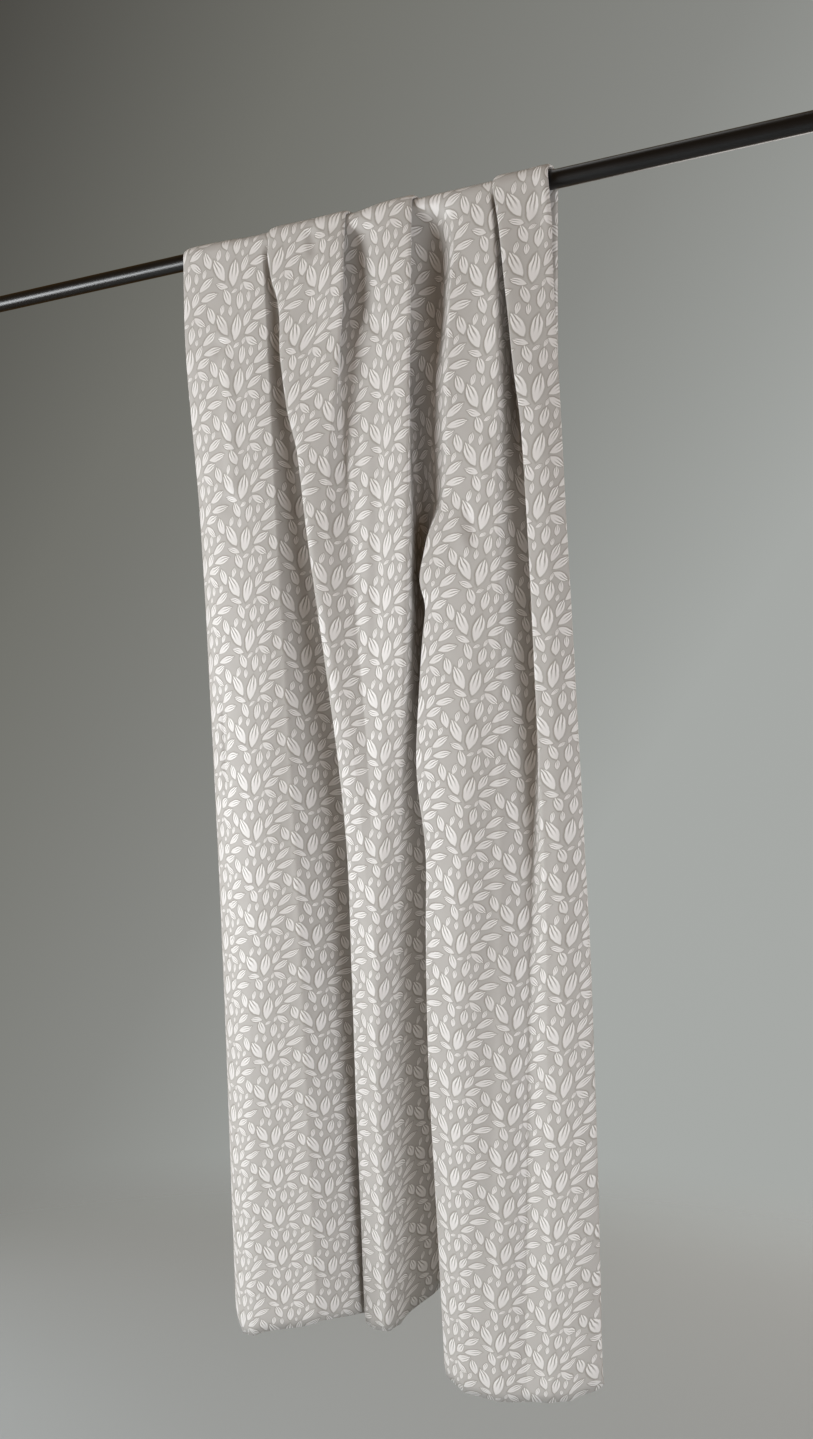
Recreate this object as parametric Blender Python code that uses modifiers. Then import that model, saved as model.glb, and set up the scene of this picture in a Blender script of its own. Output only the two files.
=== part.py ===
"""A length of drapery cloth slung over a round rod and gathered into uneven pleats.

Metres, +Z up. The rod lies along X and its axis passes through the origin.
The long front drop hangs on the -Y side and the shorter back drop on the +Y side.
"""

import math
from typing import NamedTuple

import bpy
from mathutils import Vector

MM = 0.001

# Rod
ROD_DIAMETER = 0.025
ROD_LENGTH = 1.6
ROD_CENTRE_X = 0.02
ROD_SIDES = 48

# Cloth
CLOTH_WIDTH = 1.12
CLOTH_THICKNESS = 0.0015
ROD_CLEARANCE = 0.0016
BACK_DROP = 0.80
HEM_CURL = 0.005
HEM_ROW_SHARE = 0.993

# Mesh
STEPS_PER_SPAN = 2
FRONT_ROWS = 16
ARC_ROWS = 8
BACK_ROWS = 5
ROW_CROWDING = 1.35

# Colours, linear
CLOTH_COLOUR = (0.52, 0.49, 0.46, 1.0)
ROD_COLOUR = (0.012, 0.012, 0.013, 1.0)

# Shares of the front drop at which the table below gives each fold
LEVELS = (0.0, 0.07, 0.25, 0.62, 1.0)
RIDGE_RADIUS = (1.2, 4.0, 7.0, 11.0, 12.0)
VALLEY_RADIUS = (1.2, 4.0, 9.0, 13.0, 15.0)
# A turn takes at most this share of the way to the next fold
RADIUS_SHARE = 0.35
# Mean length of the two directions out of a fold from which it counts as folded back on itself
SHARP_TURN = 0.5

# Search for the depth of a tuck
MOST_REACH = 4.0
SEARCH_STEPS = 24

# The back drop: how far its pleats open, draw in and stand off, from the rod to its hem
BACK_OPENING = 4.0
BACK_DRAW_IN = 0.07
BACK_STAND_OFF = 0.078


class Fold(NamedTuple):
    """One fold, from left to right, in mm at the five levels from the rod down to the hem."""

    name: str
    kind: str
    across: tuple
    forward: tuple
    drop: float


# Columns: name, kind, place along the rod (mm), distance forward of the cloth's plane (mm),
# length of the front drop there (mm)
FOLDS = (
    Fold("left end", "end", (-215, -215, -202, -130, -85), (0, -2, -28, -45, -62), 1600),
    Fold("left roll", "ridge", (-281, -278, -253, -214, -182), (1.2, 2, -5, -5, 0), 1606),
    Fold("strip", "face", (-208, -220, -217, -181, -160), (2.4, 5, 10, 15, 18), 1632),
    Fold("panel 1", "face", (-162, -158, -153, -143, -135), (0, 5, 12, 25, 24), 1629),
    Fold("turn 1", "face", (-138, -132, -110, -64, -34), (0, 2, 2, 10, 5), 1596),
    Fold("tuck 1", "valley", (-62, -44, 12, 40, 35), (1.2, -8, -36, -70, -115), 1600),
    Fold("edge 2", "ridge", (-124, -99, -47, 24, 18), (3.6, 12, 28, 15, -45), 1605),
    Fold("panel 2", "face", (-60, -46, -29, 42, 31), (4.8, 14, 30, 21, -38), 1612),
    Fold("fold 2", "ridge", (9, 12, -8, 54, 40), (3.6, 14, 24, 19, -38), 1612),
    Fold("tuck 2", "valley", (-44, -16, 13, 65, 48), (1.2, 1, 5, 15, -39), 1611),
    Fold("rise 3", "face", (20, 34, 50, 71, 53), (0.3, 3, 14, 13, -41), 1610),
    Fold("panel 3", "face", (62, 72, 84, 78, 58), (4.8, 11, 22, 9, -44), 1608),
    Fold("edge 3", "ridge", (118, 123, 124, 92, 68), (3.6, 15, 24, -2, -56), 1598),
    Fold("tuck 3", "valley", (68, 86, 108, 124, 108), (1.2, -6, -36, -82, -125), 1556),
    Fold("floor 3", "face", (140, 145, 142, 147, 146), (0, -4, -16, -40, -70), 1575),
    Fold("ridge 4", "ridge", (172, 182, 176, 153, 174), (0, 5, 12, 35, 15), 1632),
    Fold("panel 4", "face", (208, 212, 214, 212, 208), (0, 8, 15, 38, 27), 1644),
    Fold("edge 4", "ridge", (234, 250, 257, 262, 262), (0, 7, 9, 20, 29), 1646),
    Fold("tuck 4", "valley", (279, 286, 291, 298, 304), (1.2, -6, -30, -20, 19), 1642),
    Fold("edge 5", "ridge", (243, 267, 298, 325, 338), (3.6, 13, 22, 13, 24), 1634),
    Fold("panel 5", "face", (284, 298, 326, 347, 363), (4.8, 12, 20, 14, 19), 1628),
    Fold("right roll", "ridge", (323, 331, 347, 377, 400), (3.6, 5, 6, -4, 2), 1606),
    Fold("right end", "end", (286, 304, 325, 350, 372), (2.4, -3, -26, -40, -40), 1615),
)

# Columns: first fold, the fold that is set deeper or shallower, last fold.
# The cloth between the first and the last is as wide at every height as it is on the rod.
SPANS = (
    ("panel 1", "tuck 1", "panel 3"),
    ("panel 3", "tuck 3", "panel 4"),
    ("panel 4", "tuck 4", "panel 5"),
)
FOLD_INDEX = {fold.name: index for index, fold in enumerate(FOLDS)}
# The rest of the cloth's width is tucked behind the two outer rolls in this share on the left
LEFT_SHARE = 0.71


def level_value(values, share):
    """Reads a smooth curve through the values at LEVELS, without overshoot."""
    last = len(LEVELS) - 1
    slopes = [(values[i + 1] - values[i]) / (LEVELS[i + 1] - LEVELS[i]) for i in range(last)]
    tangents = [slopes[0]]
    for before, after in zip(slopes, slopes[1:]):
        same_way = before * after > 0
        tangents.append(2 * before * after / (before + after) if same_way else 0.0)
    tangents.append(slopes[-1])
    share = min(max(share, 0.0), 1.0)
    i = max(k for k in range(last) if LEVELS[k] <= share)
    length = LEVELS[i + 1] - LEVELS[i]
    t = (share - LEVELS[i]) / length
    start = (1 + 2 * t) * (1 - t) ** 2 * values[i] + t * (1 - t) ** 2 * length * tangents[i]
    end = t * t * (3 - 2 * t) * values[i + 1] - t * t * (1 - t) * length * tangents[i + 1]
    return start + end


def turn_points(before, tip, after, kind, radius):
    """Gives the three points of a rounded ridge or valley, in the order of the cloth."""
    to_before = before - tip
    to_after = after - tip
    radius = min(radius, RADIUS_SHARE * to_before.length, RADIUS_SHARE * to_after.length)
    inward = (to_before.normalized() + to_after.normalized()) / 2
    along = (after - before).normalized()
    sharpness = min(inward.length / SHARP_TURN, 1.0)
    side = 1 if kind == "ridge" else -1
    across = Vector((-inward.y, inward.x)) * side
    if across.length > 0:
        along = (across.normalized() * sharpness + along * (1 - sharpness)).normalized()
    return [tip + (inward - along) * radius, tip, tip + (inward + along) * radius]


def control_points(places, radii):
    """Lists the points that the section passes through and the number of each fold's own point."""
    points = []
    tips = []
    for index, (fold, place) in enumerate(zip(FOLDS, places)):
        if fold.kind in radii:
            turned = turn_points(places[index - 1], place, places[index + 1], fold.kind, radii[fold.kind])
        else:
            turned = [place]
        tips.append(len(points) + len(turned) // 2)
        points.extend(turned)
    return points, tips


def span_point(before, start, end, after, t):
    """Reads a centripetal Catmull-Rom span between start and end."""
    gaps = [max((b - a).length, 1e-6) ** 0.5 for a, b in ((before, start), (start, end), (end, after))]
    leave = (start - before) / gaps[0] - (end - before) / (gaps[0] + gaps[1]) + (end - start) / gaps[1]
    arrive = (end - start) / gaps[1] - (after - start) / (gaps[1] + gaps[2]) + (after - end) / gaps[2]
    leave *= gaps[1]
    arrive *= gaps[1]
    return (
        (2 * t**3 - 3 * t**2 + 1) * start
        + (t**3 - 2 * t**2 + t) * leave
        + (3 * t**2 - 2 * t**3) * end
        + (t**3 - t**2) * arrive
    )


def section_curve(places, radii):
    """Samples the section and returns its points and the sample number of each fold."""
    points, tips = control_points(places, radii)
    padded = [2 * points[0] - points[1], *points, 2 * points[-1] - points[-2]]
    samples = [points[0]]
    for i in range(len(points) - 1):
        for step in range(1, STEPS_PER_SPAN + 1):
            samples.append(span_point(*padded[i : i + 4], step / STEPS_PER_SPAN))
    return samples, [tip * STEPS_PER_SPAN for tip in tips]


def length_between(places, radii, first, last):
    """Measures the cloth between two folds of a section, in mm."""
    samples, marks = section_curve(places, radii)
    run = samples[marks[first] : marks[last] + 1]
    return sum((b - a).length for a, b in zip(run, run[1:]))


def fit_span(places, radii, first, moved, last, target):
    """Moves one fold in or out until the cloth between two folds has its true width."""
    if FOLDS[moved].kind == "end":
        neighbour = moved + 1 if moved == 0 else moved - 1
        base = places[neighbour]
    else:
        base = (places[moved - 1] + places[moved + 1]) / 2
    reach = places[moved] - base
    low, high = 0.0, MOST_REACH
    for _ in range(SEARCH_STEPS):
        middle = (low + high) / 2
        places[moved] = base + reach * middle
        if length_between(places, radii, first, last) < target:
            low = middle
        else:
            high = middle


def rod_places():
    """Places of the folds where the cloth lies on the rod."""
    return [Vector((fold.across[0], fold.forward[0])) for fold in FOLDS]


def rod_radii():
    """Radii of the turns where the cloth lies on the rod."""
    return {"ridge": RIDGE_RADIUS[0], "valley": VALLEY_RADIUS[0]}


def cloth_widths():
    """Width of cloth in each span, and what is left for the two rolled edges, in mm."""
    places, radii = rod_places(), rod_radii()
    spans = [
        length_between(places, radii, FOLD_INDEX[first], FOLD_INDEX[last]) for first, _, last in SPANS
    ]
    rest = CLOTH_WIDTH / MM - sum(spans)
    return spans, rest


def fitted(places, radii):
    """Fits every span and both ends of a section to the cloth's width."""
    spans, rest = cloth_widths()
    for (first, moved, last), target in zip(SPANS, spans):
        fit_span(places, radii, FOLD_INDEX[first], FOLD_INDEX[moved], FOLD_INDEX[last], target)
    final = len(FOLDS) - 1
    fit_span(places, radii, 0, 0, FOLD_INDEX["panel 1"], rest * LEFT_SHARE)
    fit_span(places, radii, FOLD_INDEX["panel 5"], final, final, rest * (1 - LEFT_SHARE))
    return places, radii


def front_section(share):
    """Section of the front drop at a share of its length."""
    places = [
        Vector((level_value(fold.across, share), level_value(fold.forward, share))) for fold in FOLDS
    ]
    radii = {"ridge": level_value(RIDGE_RADIUS, share), "valley": level_value(VALLEY_RADIUS, share)}
    return fitted(places, radii)


def back_section(share):
    """Section of the back drop: the pleats of the rod, opened and drawn in a little."""
    opening = 1 + (BACK_OPENING - 1) * share
    draw_in = 1 - BACK_DRAW_IN * math.sin(share * math.pi / 2)
    places = [Vector((place.x * draw_in, place.y * opening)) for place in rod_places()]
    radii = {kind: radius * opening for kind, radius in rod_radii().items()}
    return fitted(places, radii)


def drops_along(marks):
    """Length of the front drop at each sample of a section, straight from fold to fold."""
    drops = []
    for fold, after, mark, next_mark in zip(FOLDS, FOLDS[1:], marks, marks[1:]):
        count = next_mark - mark
        drops.extend(fold.drop + (after.drop - fold.drop) * step / count for step in range(count))
    return [*drops, FOLDS[-1].drop]


def front_shares():
    """Shares of the front drop that have a row: the hem, one just above it, then closer towards the rod."""
    body = [HEM_ROW_SHARE * (1 - number / FRONT_ROWS) ** ROW_CROWDING for number in range(FRONT_ROWS)]
    return [1.0, *body]


def cloth_rows():
    """Rows of points from the front hem, up over the rod and down the back."""
    plane = ROD_DIAMETER / 2 + ROD_CLEARANCE + CLOTH_THICKNESS / 2
    rows = []
    for share in front_shares():
        samples, marks = section_curve(*front_section(share))
        curl = HEM_CURL if share == 1.0 else 0.0
        row = []
        for place, drop in zip(samples, drops_along(marks)):
            row.append(Vector((place.x * MM, -plane - place.y * MM + curl, -share * drop * MM)))
        rows.append(row)
    on_rod, _ = section_curve(*fitted(rod_places(), rod_radii()))
    for number in range(ARC_ROWS):
        angle = math.pi * number / ARC_ROWS
        row = []
        for place in on_rod:
            radius = plane + place.y * MM
            row.append(Vector((place.x * MM, -radius * math.cos(angle), radius * math.sin(angle))))
        rows.append(row)
    for number in range(BACK_ROWS + 1):
        share = (number / BACK_ROWS) ** ROW_CROWDING
        samples, _ = section_curve(*back_section(share))
        away = plane + BACK_STAND_OFF * share
        rows.append([Vector((place.x * MM, away + place.y * MM, -share * BACK_DROP)) for place in samples])
    return rows


def material(name, colour, roughness, metallic):
    """Makes a plain Principled material."""
    made = bpy.data.materials.new(name)
    made.use_nodes = True
    shader = made.node_tree.nodes["Principled BSDF"]
    shader.inputs["Base Color"].default_value = colour
    shader.inputs["Roughness"].default_value = roughness
    shader.inputs["Metallic"].default_value = metallic
    return made


def finish_object(name, collection, made_material):
    """Names the new object, gives it its material and moves it to the part's collection."""
    made = bpy.context.active_object
    made.name = name
    made.data.name = name
    made.data.materials.append(made_material)
    for old in list(made.users_collection):
        old.objects.unlink(made)
    collection.objects.link(made)
    return made


def build_rod(collection):
    """Builds the plain round rod along X."""
    bpy.ops.mesh.primitive_cylinder_add(
        vertices=ROD_SIDES,
        radius=ROD_DIAMETER / 2,
        depth=ROD_LENGTH,
        location=(ROD_CENTRE_X, 0.0, 0.0),
        rotation=(0.0, math.pi / 2, 0.0),
    )
    rod = finish_object("rod", collection, material("black rod", ROD_COLOUR, 0.45, 0.0))
    rod.data.shade_smooth()
    rod.data.set_sharp_from_angle(angle=math.radians(40))
    return rod


def build_curtain(collection):
    """Builds the cloth: a grid moved onto the folds, with its thickness from Solidify."""
    rows = cloth_rows()
    across = len(rows[0]) - 1
    along = len(rows) - 1
    bpy.ops.mesh.primitive_grid_add(x_subdivisions=across, y_subdivisions=along, size=1.0)
    curtain = finish_object("curtain", collection, material("drapery cloth", CLOTH_COLOUR, 0.7, 0.0))
    for vertex in curtain.data.vertices:
        column = round((vertex.co.x + 0.5) * across)
        row = round((vertex.co.y + 0.5) * along)
        vertex.co = rows[row][column]
    thicken = curtain.modifiers.new("Thickness", "SOLIDIFY")
    thicken.thickness = CLOTH_THICKNESS
    thicken.offset = 0.0
    curtain.data.shade_smooth()
    return curtain


def main():
    """Clears the scene and builds the part."""
    for old in list(bpy.data.objects):
        bpy.data.objects.remove(old, do_unlink=True)
    collection = bpy.data.collections.new("curtain on rod")
    bpy.context.scene.collection.children.link(collection)
    build_rod(collection)
    build_curtain(collection)


main()
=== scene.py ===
"""Dresses a length of leaf-patterned drapery cloth that hangs over a black rod in uneven pleats.

Metres, +Z up. The rod lies along X and its axis passes through the origin. The long front drop
hangs on the -Y side and the short back drop on the +Y side. The cloth's own map has u across its
width and v along its length, both in metres, from the left end of the front hem.
"""

import logging
import math
from collections.abc import Mapping, Sequence
from dataclasses import dataclass, field, replace
from enum import Enum
from functools import partial

import bmesh
import bpy
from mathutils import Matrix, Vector, noise


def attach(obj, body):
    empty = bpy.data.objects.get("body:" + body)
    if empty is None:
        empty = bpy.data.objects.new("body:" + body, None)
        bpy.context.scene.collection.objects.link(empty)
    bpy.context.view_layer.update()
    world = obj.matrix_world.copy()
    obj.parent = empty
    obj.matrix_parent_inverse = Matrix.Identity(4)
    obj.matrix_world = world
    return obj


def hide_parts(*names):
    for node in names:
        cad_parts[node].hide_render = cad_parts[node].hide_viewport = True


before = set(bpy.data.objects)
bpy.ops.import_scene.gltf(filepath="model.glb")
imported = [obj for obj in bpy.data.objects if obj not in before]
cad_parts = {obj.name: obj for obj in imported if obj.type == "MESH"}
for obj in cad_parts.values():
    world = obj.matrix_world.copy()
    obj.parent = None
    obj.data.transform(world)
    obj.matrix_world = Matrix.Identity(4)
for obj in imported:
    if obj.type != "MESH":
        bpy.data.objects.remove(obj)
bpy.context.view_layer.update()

LOG = logging.getLogger("drapery")
MM = 0.001
# Least length that anything is divided by
TINY = 1e-9

# A row of the cloth's mesh: its points and their places on the cloth's map
Row = tuple[list[Vector], list[tuple[float, float]]]

CLOTH_MAP = "cloth"
LEAF_MAP = "leaves"
BAKE_MAP = "OFBake"

# Sockets of the Mix node for vectors and for colours
VECTOR_A, VECTOR_B, VECTOR_OUT = 4, 5, 1
COLOUR_A, COLOUR_B, COLOUR_OUT = 6, 7, 2


def linear_colour(hex_code: str) -> tuple[float, float, float, float]:
    """Turns an sRGB hex value into a linear colour.

    Args:
        hex_code: Six hex digits, such as "C8C2BA".

    Returns:
        Red, green, blue and an alpha of 1.
    """
    channels = [int(hex_code[i : i + 2], 16) / 255 for i in (0, 2, 4)]
    red, green, blue = [c / 12.92 if c <= 0.04045 else ((c + 0.055) / 1.055) ** 2.4 for c in channels]
    return red, green, blue, 1.0


def feed(tree: bpy.types.NodeTree, node: bpy.types.Node, inputs: Mapping[int | str, object]) -> None:
    """Gives a node's inputs their values and links.

    Args:
        tree: The node tree.
        node: The node that is fed.
        inputs: For each input, a value, the socket that feeds it, or the node whose first output does.
    """
    for key, value in inputs.items():
        source = value.outputs[0] if isinstance(value, bpy.types.Node) else value
        if isinstance(source, bpy.types.NodeSocket):
            tree.links.new(source, node.inputs[key])
        else:
            node.inputs[key].default_value = source


def add_node(
    tree: bpy.types.NodeTree, kind: str, inputs: Mapping[int | str, object] | None = None, **settings: object
) -> bpy.types.Node:
    """Adds a node with its settings, values and links.

    Args:
        tree: The node tree that gets the node.
        kind: Blender's name for the node's type.
        inputs: For each input, what feed takes.
        settings: The node's own properties.

    Returns:
        The new node.
    """
    node = tree.nodes.new(kind)
    for name, value in settings.items():
        setattr(node, name, value)
    feed(tree, node, inputs or {})
    return node


def lay_colours(
    tree: bpy.types.NodeTree, under: object, *layers: tuple[object, object]
) -> bpy.types.NodeSocket:
    """Lays colours over one another.

    Args:
        tree: The node tree.
        under: The lowest colour, a value or a socket.
        layers: For each further colour, its mask and the colour, from below.

    Returns:
        The colour that shows.
    """
    for mask, over in layers:
        mixed = add_node(tree, "ShaderNodeMix", {0: mask, COLOUR_A: under, COLOUR_B: over}, data_type="RGBA")
        under = mixed.outputs[COLOUR_OUT]
    return under


def new_material(name: str) -> tuple[bpy.types.Material, bpy.types.NodeTree, bpy.types.Node]:
    """Makes a material of nodes.

    Args:
        name: The material's name.

    Returns:
        The material, its nodes and its shader.
    """
    made = bpy.data.materials.new(name)
    made.use_nodes = True
    return made, made.node_tree, made.node_tree.nodes["Principled BSDF"]


def add_object(name: str, data: bpy.types.ID) -> bpy.types.Object:
    """Makes an object and puts it in the scene.

    Args:
        name: The object's name.
        data: Its mesh, lamp or camera.

    Returns:
        The object.
    """
    made = bpy.data.objects.new(name, data)
    bpy.context.scene.collection.objects.link(made)
    return made


def run_length(run: Sequence[Vector]) -> float:
    """Measures a run of points from its first to its last."""
    return sum((b - a).length for a, b in zip(run, run[1:]))


def smooth_step(t: float) -> float:
    """Eases from 0 to 1, and stays there."""
    t = min(max(t, 0.0), 1.0)
    return t * t * (3 - 2 * t)


def read_curve(knots: Sequence[float], values: Sequence[float], at: float) -> float:
    """Reads a smooth curve through the values, without overshoot.

    Args:
        knots: Where the values stand, rising.
        values: The curve's height at each knot.
        at: Where to read it.

    Returns:
        The curve's height there.
    """
    last = len(knots) - 1
    slopes = [(values[i + 1] - values[i]) / (knots[i + 1] - knots[i]) for i in range(last)]
    tangents = [slopes[0]]
    for before, after in zip(slopes, slopes[1:]):
        tangents.append(2 * before * after / (before + after) if before * after > 0 else 0.0)
    tangents.append(slopes[-1])
    at = min(max(at, knots[0]), knots[-1])
    i = max(k for k in range(last) if knots[k] <= at)
    length = knots[i + 1] - knots[i]
    t = (at - knots[i]) / length
    start = (1 + 2 * t) * (1 - t) ** 2 * values[i] + t * (1 - t) ** 2 * length * tangents[i]
    end = t * t * (3 - 2 * t) * values[i + 1] - t * t * (1 - t) * length * tangents[i + 1]
    return start + end


class FoldKind(Enum):
    """What the cloth does at a fold."""

    RIDGE = "turns back towards the wall"
    VALLEY = "turns back towards the room"
    FACE = "runs on"
    END = "ends in a side edge"


@dataclass(frozen=True)
class Fold:
    """One fold, in mm at the five levels from the rod down to the hem.

    Attributes:
        name: What the fold is called.
        kind: What the cloth does there.
        across: Place along the rod.
        forward: Distance in front of the cloth's plane.
        drop: Length of the front drop there.
    """

    name: str
    kind: FoldKind
    across: tuple[float, ...]
    forward: tuple[float, ...]
    drop: float


RIDGE, VALLEY, FACE, END = FoldKind.RIDGE, FoldKind.VALLEY, FoldKind.FACE, FoldKind.END

# Columns: name, kind, across, forward, drop. From left to right.
FOLDS = (
    Fold("left end", END, (-215, -215, -202, -130, -85), (0, -2, -28, -45, -62), 1600),
    Fold("left roll", RIDGE, (-281, -278, -253, -214, -182), (1.2, 2, -5, -5, 0), 1606),
    Fold("strip", FACE, (-208, -220, -217, -181, -160), (2.4, 5, 10, 15, 18), 1632),
    Fold("panel 1", FACE, (-162, -158, -153, -143, -135), (0, 5, 12, 25, 24), 1629),
    Fold("turn 1", RIDGE, (-138, -128, -110, -64, -34), (0, 3, 4, 12, 5), 1596),
    Fold("foot 1", FACE, (-122, -114, -84, -18, 6), (0.3, -9, -18, -32, -58), 1597),
    Fold("tuck 1", VALLEY, (-62, -44, 12, 40, 35), (1.2, -12, -36, -70, -115), 1600),
    Fold("edge 2", RIDGE, (-124, -99, -47, 18, 13), (3.6, 12, 28, 4, -48), 1606),
    Fold("panel 2", FACE, (-60, -46, -29, 41, 28), (4.8, 14, 30, 13, -42), 1612),
    Fold("fold 2", RIDGE, (9, 12, -8, 54, 40), (3.6, 16, 24, 18, -41), 1612),
    Fold("tuck 2", VALLEY, (-44, -16, 13, 65, 48), (1.2, -3, 5, 20, -38), 1611),
    Fold("rise 3", FACE, (20, 30, 50, 71, 53), (0.3, -2, 14, 20, -37), 1610),
    Fold("panel 3", FACE, (62, 72, 84, 79, 60), (4.8, 11, 22, 18, -39), 1608),
    Fold("edge 3", RIDGE, (118, 123, 124, 95, 71), (3.6, 18, 26, 4, -50), 1598),
    Fold("tuck 3", VALLEY, (68, 86, 108, 124, 108), (1.2, -12, -36, -82, -125), 1556),
    Fold("floor 3", FACE, (140, 143, 140, 147, 146), (0, -12, -20, -40, -70), 1575),
    Fold("ridge 4", RIDGE, (172, 182, 176, 153, 174), (0, 6, 12, 28, 10), 1632),
    Fold("panel 4", FACE, (208, 212, 214, 212, 208), (0, 8, 15, 38, 27), 1644),
    Fold("edge 4", RIDGE, (234, 246, 254, 262, 262), (0, 8, 12, 20, 29), 1646),
    Fold("foot 4", FACE, (246, 254, 268, 281, 284), (0.6, -14, -22, 8, 24), 1644),
    Fold("tuck 4", VALLEY, (279, 286, 293, 300, 304), (0.6, -16, -34, 4, 21), 1642),
    Fold("edge 5", RIDGE, (243, 267, 298, 325, 338), (3.6, 14, 22, 15, 24), 1634),
    Fold("panel 5", FACE, (284, 298, 326, 347, 363), (4.8, 12, 20, 14, 19), 1628),
    Fold("right roll", RIDGE, (323, 331, 347, 377, 400), (3.6, 5, 6, -4, 2), 1606),
    Fold("right end", END, (286, 304, 325, 350, 372), (3.0, -3, -26, -40, -40), 1615),
)


@dataclass(frozen=True)
class Nudge:
    """A short stretch where a fold strays from the table, in mm.

    Attributes:
        fold: The fold that strays.
        share: Share of the drop in the middle of the stretch.
        reach: Half the stretch's length, as a share of the drop.
        across: How far the fold strays along the rod.
        forward: How far it strays towards the room.
    """

    fold: str
    share: float
    reach: float
    across: float
    forward: float

    def weight(self, share: float) -> float:
        """How much of the nudge a height gets, from 0 to 1."""
        return math.exp(-(((share - self.share) / self.reach) ** 4))


# Columns: fold, share, reach, across, forward
NUDGES = (
    Nudge("edge 2", 0.03, 0.022, -5, 1),
    Nudge("edge 2", 0.14, 0.05, -9, 0),
    Nudge("foot 1", 0.03, 0.025, 0, -4),
    Nudge("tuck 1", 0.03, 0.025, 0, -4),
    Nudge("fold 2", 0.03, 0.025, 1, 2),
    Nudge("fold 2", 0.05, 0.04, 2, 3),
    Nudge("tuck 2", 0.05, 0.05, 0, -9),
    Nudge("rise 3", 0.05, 0.045, -3, -10),
    Nudge("tuck 3", 0.06, 0.05, 0, -9),
    Nudge("floor 3", 0.065, 0.06, -9, -24),
    Nudge("floor 3", 0.2, 0.055, 4, 8),
    Nudge("floor 3", 0.305, 0.04, -10, -8),
    Nudge("floor 3", 0.42, 0.11, -8, 0),
    Nudge("floor 3", 0.85, 0.2, 0, 20),
    Nudge("ridge 4", 0.03, 0.04, 4, -4),
    Nudge("ridge 4", 0.13, 0.08, 0, 5),
    Nudge("ridge 4", 0.305, 0.035, -20, 5),
    Nudge("ridge 4", 0.42, 0.11, -24, 1),
    Nudge("edge 4", 0.1, 0.1, 5, 2),
    Nudge("foot 4", 0.03, 0.03, 1, -7),
    Nudge("foot 4", 0.16, 0.08, -5, -26),
    Nudge("tuck 4", 0.03, 0.03, 0, -6),
    Nudge("tuck 4", 0.16, 0.08, 0, -20),
    Nudge("edge 5", 0.11, 0.07, -3, 4),
    Nudge("right end", 0.03, 0.025, 4, 2),
)

# Columns: fold, its place across the flat cloth at the five levels, in mm
ANCHORS = (
    ("left end", (0, 0, 0, 0, 0)),
    ("panel 1", (157, 157, 157, 157, 157)),
    ("panel 3", (588, 588, 588, 588, 588)),
    ("panel 4", (836, 836, 836, 836, 836)),
    ("panel 5", (1044, 1044, 1044, 986, 993)),
    ("right end", (1120, 1120, 1120, 1120, 1120)),
)
# The fold between each anchor and the next that is set deeper or shallower until the cloth fits
FITTED = ("left end", "tuck 1", "tuck 3", "tuck 4", "right end")


@dataclass(frozen=True)
class Crease:
    """One soft ridge, or trough where its height is negative, on the cloth's own map, in mm.

    Attributes:
        name: What the crease is.
        start: Its first end, across and along the cloth.
        end: Its other end.
        half_width: How far it reaches to each side.
        height: How far it stands out of the cloth.
    """

    name: str
    start: tuple[float, float]
    end: tuple[float, float]
    half_width: float
    height: float

    def lift(self, u: float, v: float) -> float:
        """Works out how far the crease lifts a point of the cloth.

        Args:
            u: The point's place across the cloth, in mm.
            v: The point's place along the cloth, in mm.

        Returns:
            The lift in mm.
        """
        run = (self.end[0] - self.start[0], self.end[1] - self.start[1])
        away = (u - self.start[0], v - self.start[1])
        length = math.hypot(*run)
        along = (away[0] * run[0] + away[1] * run[1]) / length**2
        nearest = min(max(along, 0.0), 1.0)
        gap = math.hypot(away[0] - run[0] * nearest, away[1] - run[1] * nearest)
        if gap > 3 * self.half_width:
            return 0.0
        taper = 1 - abs(2 * nearest - 1) ** 3
        return self.height * taper * math.exp(-((gap / self.half_width) ** 2))


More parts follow.
